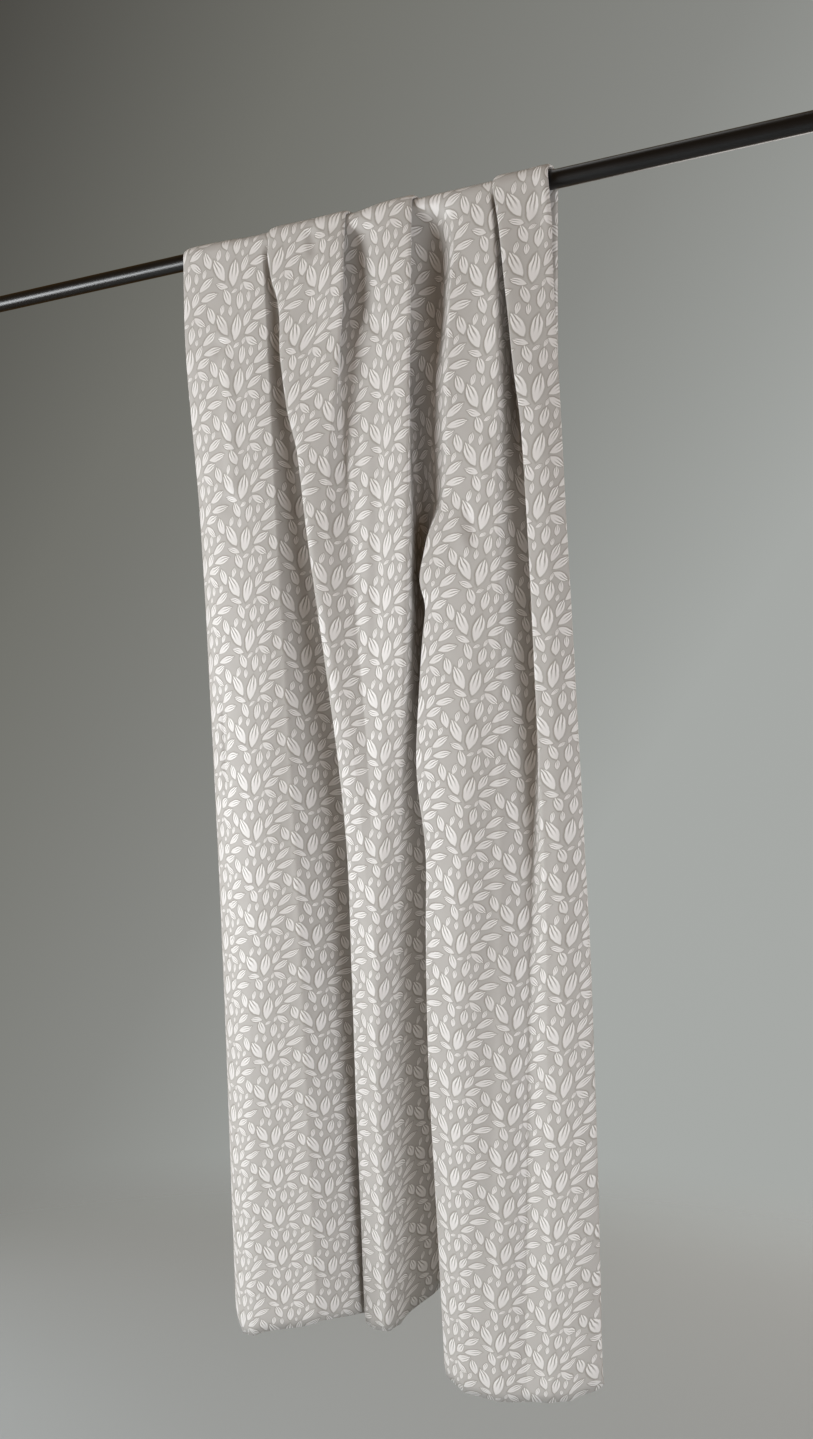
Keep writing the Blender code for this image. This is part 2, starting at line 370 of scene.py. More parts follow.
# Columns: name, first end (across, along), other end, half width, height
CREASES = (
    Crease("ridge down the strip", (112, 1510), (134, 1235), 8, 5.0),
    Crease("strip, upper wrinkle", (92, 1508), (152, 1478), 8, 3.0),
    Crease("strip, crossing wrinkle", (96, 1472), (140, 1500), 7, -4.5),
    Crease("strip, lower wrinkle", (116, 1272), (160, 1232), 8, 3.0),
    Crease("strip, lower crossing", (104, 1232), (148, 1256), 7, -4.5),
    Crease("side tuck", (104, 975), (108, 790), 7, -4.0),
    Crease("hollow in the curl", (366, 1632), (378, 1585), 7, -5.0),
    Crease("beside edge 2", (400, 1620), (420, 1500), 10, 2.4),
    Crease("ridge on panel 2", (526, 1330), (528, 1190), 7, 3.4),
    Crease("knee under fold 2", (556, 1484), (594, 1450), 9, -4.4),
    Crease("valley under fold 2", (577, 1470), (570, 940), 13, -5.0),
    Crease("panel 3, low wrinkle", (614, 722), (656, 688), 8, 3.0),
    Crease("panel 3, second wrinkle", (626, 686), (664, 716), 7, -2.8),
    Crease("ridge 4, crest", (858, 1300), (856, 1215), 6, 3.4),
    Crease("under ridge 4", (826, 1204), (848, 1146), 8, -4.0),
    Crease("under ridge 4, crest", (816, 1184), (836, 1130), 7, 3.2),
    Crease("panel 4, wrinkle", (838, 938), (864, 896), 8, -3.0),
    Crease("line from the rod", (890, 1640), (884, 1530), 6, 3.4),
    Crease("beside that line", (904, 1640), (900, 1560), 8, -3.0),
    Crease("right end, line", (1064, 1640), (1068, 1545), 6, -3.2),
    Crease("right end, crest", (1076, 1640), (1080, 1530), 7, 2.6),
    Crease("panel 5, nick", (1044, 806), (1052, 752), 7, -3.0),
    Crease("swell of panel 1", (200, 1540), (190, 300), 24, 2.0),
    Crease("swell of panel 4", (905, 1480), (912, 180), 22, 2.0),
    Crease("dip in panel 4", (872, 1000), (878, 120), 12, -1.8),
    Crease("swell of panel 5", (1030, 700), (1026, 60), 18, 1.8),
)


@dataclass
class PleatSections:
    """The cloth's sections across its width, at every height from the rod to the front hem.

    Attributes:
        levels: Shares of the drop at which the fold table stands.
        ridge_radii: Radius of a ridge's turn at each level, in mm.
        valley_radii: Radius of a valley's turn at each level, in mm.
        radius_share: Most of the way to the next fold that a turn takes.
        sharp_turn: Mean of the two directions out of a fold from which it counts as folded back.
        span_steps: Samples on each span of the curve.
        spacing: Distance between the columns of the mesh, in mm.
        crowding: How much closer the columns stand beside a fold.
        fewest_columns: Fewest columns between a fold and the next.
        most_reach: Most that a tuck is deepened, as a multiple.
        fit_steps: Halvings in which a tuck's depth is found.
        rod_share: Share of the drop over which the nudges set in below the rod.
        fit_knots: Shares at which the tucks are fitted.
        fold_index: Each fold's number.
        fits: For each fitted fold, its place at each knot.
        column_counts: Columns of the mesh from each fold to the next.
    """

    levels: tuple[float, ...] = (0.0, 0.07, 0.25, 0.62, 1.0)
    ridge_radii: tuple[float, ...] = (1.2, 2.2, 4.5, 9.0, 12.0)
    valley_radii: tuple[float, ...] = (1.2, 3.0, 7.0, 12.0, 15.0)
    radius_share: float = 0.35
    sharp_turn: float = 0.5
    span_steps: int = 6
    spacing: float = 6.6
    crowding: float = 0.5
    fewest_columns: int = 4
    most_reach: float = 4.0
    fit_steps: int = 14
    rod_share: float = 0.015
    fit_knots: tuple[float, ...] = (
        *(0.0, 0.015, 0.03, 0.05, 0.07, 0.1, 0.14, 0.18, 0.22, 0.25),
        *(0.28, 0.31, 0.36, 0.42, 0.47, 0.52, 0.62, 0.74, 0.87, 1.0),
    )
    fold_index: dict[str, int] = field(default_factory=dict)
    fits: dict[int, list[Vector]] = field(default_factory=dict)
    column_counts: list[int] = field(default_factory=list)

    def __post_init__(self) -> None:
        """Fits the tucks and the side edges at every knot, and counts the mesh's columns."""
        self.fold_index = {fold.name: index for index, fold in enumerate(FOLDS)}
        self.fits = {self.fold_index[name]: [] for name in FITTED}
        for share in self.fit_knots:
            fitted = self.fitted(self.table_places(share), self.radii_at(share), share)
            for index, found in self.fits.items():
                found.append(fitted[index])
        self.column_counts = self.count_columns()

    def rod_places(self) -> list[Vector]:
        """Places of the folds where the cloth lies on the rod."""
        return [Vector((fold.across[0], fold.forward[0])) for fold in FOLDS]

    def table_places(self, share: float) -> list[Vector]:
        """Reads the folds' places off the tables, before the tucks are fitted.

        Args:
            share: Share of the front drop.

        Returns:
            The folds' places.
        """
        places = [
            Vector([read_curve(self.levels, values, share) for values in (fold.across, fold.forward)])
            for fold in FOLDS
        ]
        for nudge in NUDGES:
            weight = nudge.weight(share) * smooth_step(share / self.rod_share)
            places[self.fold_index[nudge.fold]] += Vector((nudge.across, nudge.forward)) * weight
        return places

    def radii_at(self, share: float) -> dict[FoldKind, float]:
        """Radii of the turns at a share of the drop."""
        return {
            RIDGE: read_curve(self.levels, self.ridge_radii, share),
            VALLEY: read_curve(self.levels, self.valley_radii, share),
        }

    def turn_points(
        self, before: Vector, tip: Vector, after: Vector, kind: FoldKind, radius: float
    ) -> list[Vector]:
        """Rounds a ridge or a valley.

        Args:
            before: The fold before this one.
            tip: The fold's own place.
            after: The fold after it.
            kind: Ridge or valley.
            radius: Radius of the turn, in mm.

        Returns:
            Three points in the order of the cloth.
        """
        to_before, to_after = before - tip, after - tip
        radius = min(radius, self.radius_share * to_before.length, self.radius_share * to_after.length)
        inward = (to_before.normalized() + to_after.normalized()) / 2
        along = (after - before).normalized()
        sharpness = min(inward.length / self.sharp_turn, 1.0)
        across = Vector((-inward.y, inward.x)) * (1 if kind is RIDGE else -1)
        if across.length > 0:
            along = (across.normalized() * sharpness + along * (1 - sharpness)).normalized()
        return [tip + (inward - along) * radius, tip, tip + (inward + along) * radius]

    def curve(
        self, places: Sequence[Vector], radii: Mapping[FoldKind, float]
    ) -> tuple[list[Vector], list[int]]:
        """Draws a section as a centripetal Catmull-Rom curve.

        Args:
            places: The folds' places.
            radii: Radii of the turns.

        Returns:
            The curve's samples and the sample number of each fold.
        """
        points: list[Vector] = []
        tips: list[int] = []
        for index, (fold, place) in enumerate(zip(FOLDS, places)):
            turned = [place]
            if fold.kind in radii:
                before, after = places[index - 1], places[index + 1]
                turned = self.turn_points(before, place, after, fold.kind, radii[fold.kind])
            tips.append(len(points) + len(turned) // 2)
            points.extend(turned)
        padded = [2 * points[0] - points[1], *points, 2 * points[-1] - points[-2]]
        samples = [points[0]]
        for i in range(len(points) - 1):
            samples.extend(self.span_samples(*padded[i : i + 4]))
        return samples, [tip * self.span_steps for tip in tips]

    def span_samples(self, before: Vector, start: Vector, end: Vector, after: Vector) -> list[Vector]:
        """Samples one span of the curve.

        Args:
            before: The point before the span.
            start: Where the span starts.
            end: Where it ends.
            after: The point after it.

        Returns:
            The span's samples, without its start.
        """
        gaps = [max((b - a).length, TINY) ** 0.5 for a, b in ((before, start), (start, end), (end, after))]
        leave = (start - before) / gaps[0] - (end - before) / (gaps[0] + gaps[1]) + (end - start) / gaps[1]
        arrive = (end - start) / gaps[1] - (after - start) / (gaps[1] + gaps[2]) + (after - end) / gaps[2]
        leave, arrive = leave * gaps[1], arrive * gaps[1]
        samples = []
        for step in range(1, self.span_steps + 1):
            t = step / self.span_steps
            held = (2 * t**3 - 3 * t**2 + 1) * start + (3 * t**2 - 2 * t**3) * end
            samples.append(held + (t**3 - 2 * t**2 + t) * leave + (t**3 - t**2) * arrive)
        return samples

    def length_between(
        self, places: Sequence[Vector], radii: Mapping[FoldKind, float], first: int, last: int
    ) -> float:
        """Measures the cloth between two folds, in mm."""
        samples, marks = self.curve(places, radii)
        return run_length(samples[marks[first] : marks[last] + 1])

    def fit(
        self,
        places: list[Vector],
        radii: Mapping[FoldKind, float],
        span: tuple[int, int],
        moved: int,
        target: float,
    ) -> None:
        """Moves one fold in or out until the cloth between two folds has its true width.

        Args:
            places: The folds' places, of which one changes.
            radii: Radii of the turns.
            span: The two folds.
            moved: The fold that moves.
            target: The cloth's width between the two, in mm.
        """
        if FOLDS[moved].kind is END:
            base = places[moved + 1 if moved == 0 else moved - 1]
        else:
            base = (places[moved - 1] + places[moved + 1]) / 2
        reach = places[moved] - base
        low, high = 0.0, self.most_reach
        for _ in range(self.fit_steps):
            middle = (low + high) / 2
            places[moved] = base + reach * middle
            if self.length_between(places, radii, *span) < target:
                low = middle
            else:
                high = middle

    def anchor_places(self, share: float) -> list[tuple[int, float]]:
        """Lists each anchor's fold number and its place across the flat cloth, in mm."""
        return [(self.fold_index[name], read_curve(self.levels, across, share)) for name, across in ANCHORS]

    def fitted(self, places: list[Vector], radii: Mapping[FoldKind, float], share: float) -> list[Vector]:
        """Fits every span between two anchors to the cloth's width.

        Args:
            places: The folds' places.
            radii: Radii of the turns.
            share: Share of the front drop.

        Returns:
            The same places, with the fitted folds moved.
        """
        anchors = self.anchor_places(share)
        for (first, start), (last, end), name in zip(anchors, anchors[1:], FITTED):
            self.fit(places, radii, (first, last), self.fold_index[name], end - start)
        return places

    def places_at(self, share: float) -> list[Vector]:
        """Reads the folds' places, with the tucks as they were fitted.

        Args:
            share: Share of the front drop.

        Returns:
            The folds' places.
        """
        places = self.table_places(share)
        for index, fitted in self.fits.items():
            x = read_curve(self.fit_knots, [place.x for place in fitted], share)
            y = read_curve(self.fit_knots, [place.y for place in fitted], share)
            places[index] = Vector((x, y))
        return places

    def count_columns(self) -> list[int]:
        """Counts the mesh's columns between each fold and the next.

        Returns:
            The counts, from the level at which the cloth between the two is longest.
        """
        counts = [0] * (len(FOLDS) - 1)
        for share in self.levels:
            samples, marks = self.curve(self.places_at(share), self.radii_at(share))
            for i, (start, end) in enumerate(zip(marks, marks[1:])):
                length = run_length(samples[start : end + 1])
                counts[i] = max(counts[i], self.fewest_columns, math.ceil(length / self.spacing))
        return counts

    def columns(
        self, places: Sequence[Vector], radii: Mapping[FoldKind, float], share: float
    ) -> tuple[list[Vector], list[float]]:
        """Spreads the mesh's columns over a section, closer beside each fold.

        Args:
            places: The folds' places.
            radii: Radii of the turns.
            share: Share of the front drop.

        Returns:
            A point for each column, in mm, and each column's place across the flat cloth, in mm.
        """
        samples, marks = self.curve(places, radii)
        spread, walked = [samples[0]], [0.0]
        tips = [0.0]
        for (start, end), count in zip(zip(marks, marks[1:]), self.column_counts):
            run = samples[start : end + 1]
            lengths = [0.0]
            for a, b in zip(run, run[1:]):
                lengths.append(lengths[-1] + (b - a).length)
            k = 0
            for step in range(1, count + 1):
                t = step / count
                t -= self.crowding * math.sin(2 * math.pi * t) / (2 * math.pi)
                wanted = lengths[-1] * t
                while k < len(run) - 2 and lengths[k + 1] < wanted:
                    k += 1
                part = (wanted - lengths[k]) / max(lengths[k + 1] - lengths[k], TINY)
                spread.append(run[k].lerp(run[k + 1], min(part, 1.0)))
                walked.append(tips[-1] + wanted)
            tips.append(walked[-1])
        return spread, self.flat_places(walked, tips, share)

    def flat_places(self, walked: Sequence[float], tips: Sequence[float], share: float) -> list[float]:
        """Turns the way walked along a section into places across the flat cloth.

        Args:
            walked: The way walked up to each column, in mm.
            tips: The way walked up to each fold, in mm.
            share: Share of the front drop.

        Returns:
            Each column's place across the cloth, in mm.
        """
        anchors = [(tips[index], across) for index, across in self.anchor_places(share)]
        flat, i = [], 0
        for way in walked:
            while i < len(anchors) - 2 and way > anchors[i + 1][0]:
                i += 1
            (start, low), (end, high) = anchors[i], anchors[i + 1]
            flat.append(low + (high - low) * (way - start) / (end - start))
        return flat

    def drops(self) -> list[float]:
        """Works out the front drop's length at each column.

        Returns:
            The lengths in mm, on a straight line from fold to fold.
        """
        drops = []
        for fold, after, count in zip(FOLDS, FOLDS[1:], self.column_counts):
            drops.extend(fold.drop + (after.drop - fold.drop) * step / count for step in range(count))
        return [*drops, FOLDS[-1].drop]


@dataclass(frozen=True)
class Leaf:
    """One leaf of the repeat, in mm from the foot of the pair of large leaves.

    Attributes:
        across: Place of its middle across the cloth.
        up: Place of its middle along the cloth.
        length: From stalk to tip.
        width: At its widest.
        tilt: Turn of its tip to the right, in degrees.
    """

    across: float
    up: float
    length: float
    width: float
    tilt: float


# Columns: across, up, length, width, tilt
LEAVES = (
    Leaf(-18, 30, 40, 17, -26),
    Leaf(8, 22, 42, 17, 12),
    Leaf(-6, 72, 27, 13, -18),
    Leaf(16, 64, 29, 12.5, 10),
    Leaf(-17, 54, 18, 8, 16),
    Leaf(-2, 50, 16, 7.5, 6),
    Leaf(28, 34, 28, 11, 28),
    Leaf(49, 54.5, 32, 12, 54),
    Leaf(53, 34, 33, 11.5, 76),
    Leaf(35, 17, 29, 12, 60),
    Leaf(33, -3, 26, 11, 130),
    Leaf(55, 5, 29, 13.5, -16),
    Leaf(32, 67, 18, 7.5, 6),
    Leaf(48, 71, 16, 7, 25),
    Leaf(-15, 5, 24, 9.5, -68),
    Leaf(7, -6, 13, 5.5, 64),
    Leaf(25, 51, 11, 5.5, 12),
    Leaf(20, -1, 12, 5, 24),
)


@dataclass(frozen=True)
class LeafRepeat:
    """A half-drop repeat of leaves as a node group, which gives the nearest leaf's own place.

    Attributes:
        column: Width of one column of leaves, in metres.
        rise: Height of the repeat, in metres.
        left: Left border of a column, from the foot of its pair of large leaves, in metres.
        slimness: Width of a leaf as a share of its length, before it is stretched.
        outside: How far off a leaf the place counts as bare ground.
    """

    column: float = 0.093
    rise: float = 0.086
    left: float = -0.032
    slimness: float = 0.42
    outside: float = -9.0

    def nearby(self) -> list[Leaf]:
        """Finds the leaves that show in one column.

        Returns:
            The column's own leaves, and those of the columns beside it that lean into it.
        """
        found = list(LEAVES)
        low, high = self.left / MM, (self.left + self.column) / MM
        for leaf in LEAVES:
            turn = math.radians(leaf.tilt)
            half = max(abs(math.sin(turn)) * leaf.length, abs(math.cos(turn)) * leaf.width) / 2
            for side in (-1, 1):
                across = leaf.across + side * self.column / MM
                if across + half > low and across - half < high:
                    found.append(replace(leaf, across=across, up=leaf.up + self.rise / MM / 2))
        return found

    def make(self) -> bpy.types.NodeTree:
        """Makes the group.

        Returns:
            A group from a place on the cloth to the leaf's own place (side, along) and its border.
        """
        tree = bpy.data.node_groups.new("leaf repeat", "ShaderNodeTree")
        sockets = tree.interface
        sockets.new_socket(name="Cloth", in_out="INPUT", socket_type="NodeSocketVector")
        sockets.new_socket(name="Leaf", in_out="OUTPUT", socket_type="NodeSocketVector")
        sockets.new_socket(name="Border", in_out="OUTPUT", socket_type="NodeSocketFloat")
        add = partial(add_node, tree)
        parts = add("ShaderNodeSeparateXYZ", {0: add("NodeGroupInput")})
        shifted = add("ShaderNodeMath", {0: parts.outputs["X"], 1: self.left}, operation="SUBTRACT")
        columns = add("ShaderNodeMath", {0: shifted, 1: self.column}, operation="DIVIDE")
        number = add("ShaderNodeMath", {0: columns}, operation="FLOOR")
        moved = {}
        for axis, step in (("X", -self.column), ("Y", self.rise / 2)):
            shift = {0: number, 1: step, 2: parts.outputs[axis]}
            moved[axis] = add("ShaderNodeMath", shift, operation="MULTIPLY_ADD")
        place = add("ShaderNodeCombineXYZ", moved).outputs[0]
        nearest = add("ShaderNodeCombineXYZ").outputs[0]
        border = add("ShaderNodeValue").outputs[0]
        border.default_value = self.outside
        for leaf in self.nearby():
            nearest, border = self.add_leaf(tree, leaf, place, nearest, border)
        add("NodeGroupOutput", {"Leaf": nearest, "Border": border})
        return tree

    def add_leaf(
        self,
        tree: bpy.types.NodeTree,
        leaf: Leaf,
        place: bpy.types.NodeSocket,
        nearest: bpy.types.NodeSocket,
        border: bpy.types.NodeSocket,
    ) -> tuple[bpy.types.NodeSocket, bpy.types.NodeSocket]:
        """Adds one leaf, a form between two arcs that is pointed at both ends.

        Args:
            tree: The group that gets the leaf.
            leaf: The leaf.
            place: Place in the column.
            nearest: Own place on the nearest leaf so far.
            border: How deep that lies in the leaf, negative outside it.

        Returns:
            The two sockets with this leaf taken in.
        """
        add = partial(add_node, tree)
        arc_side = (1 - self.slimness**2) / (2 * self.slimness)
        arc_radius = arc_side + self.slimness
        middle = leaf.up * MM
        top, foot = (1.0, middle + self.rise / 2, 1.0), (-1.0, middle - self.rise / 2, -1.0)
        placing = {
            "Vector": add("ShaderNodeVectorMath", {0: place, 1: top, 2: foot}, operation="WRAP"),
            "Location": (leaf.across * MM, middle, 0.0),
            "Rotation": (0.0, 0.0, -math.radians(leaf.tilt)),
            "Scale": (leaf.width * MM / 2 / self.slimness, leaf.length * MM / 2, 1.0),
        }
        own = add("ShaderNodeMapping", placing, vector_type="TEXTURE")
        mirrored = add("ShaderNodeVectorMath", {0: own}, operation="ABSOLUTE")
        from_arc = add("ShaderNodeVectorMath", {0: mirrored, 1: (arc_side, 0.0, 0.0)}, operation="ADD")
        reach = add("ShaderNodeVectorMath", {0: from_arc}, operation="LENGTH").outputs["Value"]
        depth = add("ShaderNodeMath", {0: arc_radius, 1: reach}, operation="SUBTRACT")
        nearer = add("ShaderNodeMath", {0: depth, 1: border}, operation="GREATER_THAN")
        chosen = add("ShaderNodeMix", {0: nearer, VECTOR_A: nearest, VECTOR_B: own}, data_type="VECTOR")
        deepest = add("ShaderNodeMath", {0: depth, 1: border}, operation="MAXIMUM")
        return chosen.outputs[VECTOR_OUT], deepest.outputs[0]


@dataclass(frozen=True)
class SatinJacquard:
    """Satin jacquard: matt warp ground, leaves floated in a smoother, paler thread.

    The floats are what gives the leaves their silky gleam on the flanks that turn to the light,
    while the ground stays dull and a shade darker.

    Attributes:
        name: The material's name.
        ground: Colour of the ground.
        leaf: Colour of the leaves.
        stroke: Colour of the fine pale strokes that run to a leaf's tip.
        shade: Colour of the thin dark line beside a leaf, partly its woven outline and partly a painted
            shadow of the leaf on the ground.
        ground_roughness: Roughness of the ground.
        leaf_roughness: Roughness of the leaves.
        stroke_depth: How much the gaps between the strokes show, from 0 to 1.
        specular: Strength of the plain gloss.
        sheen: Strength of the fibres' gleam at a flat angle.
        sheen_roughness: Its roughness.
        leaf_edge: Depths in the leaf between which it sets in.
        outline_shadow_edge: Depths, outside the leaf, between which the line beside it, outline and painted
            shadow, sets in.
        outline_shadow_sides: Left and right sides of a leaf, between which the strength of the line, outline
            and painted shadow, changes.
        outline_shadow_strengths: Strengths of the line, outline and painted shadow, at those two.
        stroke_turns: Turn of the strokes' wave from a leaf's middle to its side, in radians.
        stroke_closing: How much faster it turns towards the leaf's ends.
        stroke_wave: Heights of the wave between which a stroke sets in.
        stroke_opening: Places along the leaf between which the strokes set in.
        gap_opening: Places between which the gaps between them get dark.
        stalk_paleness: How far a leaf is in its strokes' colour at its stalk.
        patch_size: Size of the ground's faint patches, in metres.
        patch_range: Heights of their noise between which a patch sets in.
        patch_depth: How far a patch goes towards the shade.
        wander: How far the woven leaves wander off their drawn outline, in metres.
        wander_size: Length over which they wander to and fro, in metres.
        thread: Distance between threads, drawn coarser than the real 0.3 mm so that it shows.
        rib: Height of the threads' ribs beside that of the slubs.
        slub_size: Size of the thread's slubs, in metres.
        relief: Strength of the weave's relief.
        relief_depth: Its depth in metres.
    """

    name: str = "satin_jacquard_face"
    ground: str = "B7B3AF"
    leaf: str = "C7C3C0"
    stroke: str = "E9E6E4"
    shade: str = "98938B"
    ground_roughness: float = 0.62
    leaf_roughness: float = 0.42
    stroke_depth: float = 0.9
    specular: float = 0.35
    sheen: float = 0.12
    sheen_roughness: float = 0.4
    leaf_edge: tuple[float, float] = (-0.03, 0.05)
    outline_shadow_edge: tuple[float, float] = (-0.2, -0.03)
    outline_shadow_sides: tuple[float, float] = (0.25, -0.25)
    outline_shadow_strengths: tuple[float, float] = (0.3, 0.9)
    stroke_turns: float = 20.0
    stroke_closing: float = 22.0
    stroke_wave: tuple[float, float] = (-0.9, 0.1)
    stroke_opening: tuple[float, float] = (-0.6, 0.5)
    gap_opening: tuple[float, float] = (-0.45, 0.5)
    stalk_paleness: float = 0.62
    patch_size: float = 0.04545
    patch_range: tuple[float, float] = (0.3, 0.7)
    patch_depth: float = 0.1
    wander: float = 0.003
    wander_size: float = 0.016667
    thread: float = 0.0011
    rib: float = 0.4
    slub_size: float = 0.0016667
    relief: float = 0.35
    relief_depth: float = 0.0002

    def make(self, repeat: bpy.types.NodeTree) -> bpy.types.Material:
        """Makes the material.

        Args:
            repeat: The leaf repeat's node group.

        Returns:
            The material.
        """
        made, tree, shader = new_material(self.name)
        add = partial(add_node, tree)
        cloth = add("ShaderNodeUVMap", uv_map=CLOTH_MAP).outputs[0]
        chart = add("ShaderNodeUVMap", uv_map=LEAF_MAP).outputs[0]
        noise_inputs = {"Vector": chart, "Scale": 1 / self.wander_size}
        noisy = add("ShaderNodeTexNoise", noise_inputs, noise_dimensions="2D")
        middle, reach = (0.5, 0.5, 0.5), (self.wander, self.wander, 0.0)
        centred = add("ShaderNodeVectorMath", {0: noisy.outputs["Color"], 1: middle}, operation="SUBTRACT")
        drawn = add("ShaderNodeVectorMath", {0: centred, 1: reach, 2: chart}, operation="MULTIPLY_ADD")
        leaves = add("ShaderNodeGroup", {0: drawn}, node_tree=repeat)
        low, high = self.leaf_edge
        edge = {"Value": leaves.outputs["Border"], "From Min": low, "From Max": high}
        in_leaf = add("ShaderNodeMapRange", edge, interpolation_type="SMOOTHSTEP")
        gloss = {"Value": in_leaf, "To Min": self.ground_roughness, "To Max": self.leaf_roughness}
        dressed = {
            "Base Color": self.add_colour(tree, cloth, leaves, in_leaf),
            "Roughness": add("ShaderNodeMapRange", gloss),
            "Specular IOR Level": self.specular,
            "Sheen Weight": self.sheen,
            "Sheen Roughness": self.sheen_roughness,
            "Normal": self.add_weave(tree, cloth),
        }
        feed(tree, shader, dressed)
        return made

    def add_colour(
        self,
        tree: bpy.types.NodeTree,
        cloth: bpy.types.NodeSocket,
        leaves: bpy.types.Node,
        in_leaf: bpy.types.Node,
    ) -> bpy.types.NodeSocket:
        """Adds the nodes for ground, leaves, the line beside each leaf, which is its outline and a painted
        shadow, and the strokes in it.

        Args:
            tree: The material's nodes.
            cloth: Place on the cloth's map.
            leaves: The leaf repeat.
            in_leaf: 1 in a leaf and 0 on the ground.

        Returns:
            The colour.
        """
        add = partial(add_node, tree)
        own = add("ShaderNodeSeparateXYZ", {0: leaves.outputs["Leaf"]})
        side, along = own.outputs["X"], own.outputs["Y"]
        squared = add("ShaderNodeMath", {0: along, 1: along}, operation="MULTIPLY")
        turning = {0: squared, 1: self.stroke_closing, 2: self.stroke_turns}
        closing = add("ShaderNodeMath", turning, operation="MULTIPLY_ADD")
        bent = add("ShaderNodeMath", {0: side, 1: closing}, operation="MULTIPLY")
        wave = add("ShaderNodeMath", {0: bent}, operation="COSINE")
        noise_inputs = {"Vector": cloth, "Scale": 1 / self.patch_size, "Detail": 2.0}
        patches = add("ShaderNodeTexNoise", noise_inputs, noise_dimensions="2D").outputs["Fac"]

        # Columns: what is read, where the mask starts and ends, its values there, how it rises
        beside, outline_shadow_strength, stroke, opened, tip, patch = (
            add(
                "ShaderNodeMapRange",
                {"Value": read, "From Min": start, "From Max": end, "To Min": low, "To Max": high},
                interpolation_type=rise,
            )
            for read, (start, end), (low, high), rise in (
                (leaves.outputs["Border"], self.outline_shadow_edge, (0.0, 1.0), "SMOOTHSTEP"),
                (side, self.outline_shadow_sides, self.outline_shadow_strengths, "LINEAR"),
                (wave.outputs[0], self.stroke_wave, (0.0, 1.0), "SMOOTHSTEP"),
                (along, self.stroke_opening, (0.0, 1.0), "SMOOTHSTEP"),
                (along, self.gap_opening, (0.0, self.stroke_depth), "SMOOTHSTEP"),
                (patches, self.patch_range, (0.0, self.patch_depth), "LINEAR"),
            )
        )
        # The line beside each leaf: its woven outline and a painted shadow of the leaf on the ground,
        # stronger on one side of the leaf
        line = add("ShaderNodeMath", {0: beside, 1: outline_shadow_strength}, operation="MULTIPLY")
        pale = add("ShaderNodeMix", {0: opened, 2: self.stalk_paleness, 3: stroke})
        between = add("ShaderNodeMath", {0: 1.0, 1: stroke}, operation="SUBTRACT")
        gap = add("ShaderNodeMath", {0: between, 1: tip}, operation="MULTIPLY")
        tones = (self.ground, self.leaf, self.stroke, self.shade)
        ground, leaf, floated, shade = (linear_colour(tone) for tone in tones)
        drawn_leaf = lay_colours(tree, leaf, (pale, floated), (gap, shade))
        return lay_colours(tree, ground, (patch, shade), (line, shade), (in_leaf, drawn_leaf))

    def add_weave(self, tree: bpy.types.NodeTree, cloth: bpy.types.NodeSocket) -> bpy.types.Node:
        """Adds the weave's fine relief.

        Args:
            tree: The material's nodes.
            cloth: Place on the cloth's map.

        Returns:
            The node that bumps the surface.
        """
        add = partial(add_node, tree)
        twill = (2 * math.pi / self.thread, math.pi / self.thread, 0.0)
        turned = add("ShaderNodeVectorMath", {0: cloth, 1: twill}, operation="DOT_PRODUCT").outputs["Value"]
        ribs = add("ShaderNodeMath", {0: turned}, operation="SINE")
        noise_inputs = {"Vector": cloth, "Scale": 1 / self.slub_size, "Detail": 2.0}
        slubs = add("ShaderNodeTexNoise", noise_inputs, noise_dimensions="2D").outputs["Fac"]
        height = add("ShaderNodeMath", {0: ribs, 1: self.rib, 2: slubs}, operation="MULTIPLY_ADD")
        relief = {"Height": height, "Strength": self.relief, "Distance": self.relief_depth}
        return add("ShaderNodeBump", relief)


@dataclass(frozen=True)
class PowderCoat:
    """Satin black powder coat on steel tube, baked on, which leaves a very fine orange peel.

    Attributes:
        name: The material's name.
        colour: The coat's colour.
        roughness: Its roughness.
        wear: Least and most that handling adds to the roughness.
        wear_size: Size of the handled places, in metres.
        peel: Distance between the peel's dimples, in metres.
        peel_strength: Strength of the peel's relief.
        peel_depth: Its depth in metres.
    """

    name: str = "black_powder_coat"
    colour: str = "0C0C0D"
    roughness: float = 0.3
    wear: tuple[float, float] = (-0.06, 0.08)
    wear_size: float = 0.07143
    peel: float = 0.0016
    peel_strength: float = 0.2
    peel_depth: float = 0.0001

    def make(self) -> bpy.types.Material:
        """Makes the material.

        Returns:
            The material.
        """
        made, tree, shader = new_material(self.name)
        add = partial(add_node, tree)
        place = add("ShaderNodeTexCoord").outputs["Object"]
        peel = add("ShaderNodeTexNoise", {"Vector": place, "Scale": 1 / self.peel}).outputs["Fac"]
        relief = {"Height": peel, "Strength": self.peel_strength, "Distance": self.peel_depth}
        noise_inputs = {"Vector": place, "Scale": 1 / self.wear_size, "Detail": 3.0}
        handled = add("ShaderNodeTexNoise", noise_inputs).outputs["Fac"]
        least, most = (self.roughness + worn for worn in self.wear)
        dressed = {
            "Base Color": linear_colour(self.colour),
            "Roughness": add("ShaderNodeMapRange", {"Value": handled, "To Min": least, "To Max": most}),
            "Normal": add("ShaderNodeBump", relief),
        }
        feed(tree, shader, dressed)
        return made


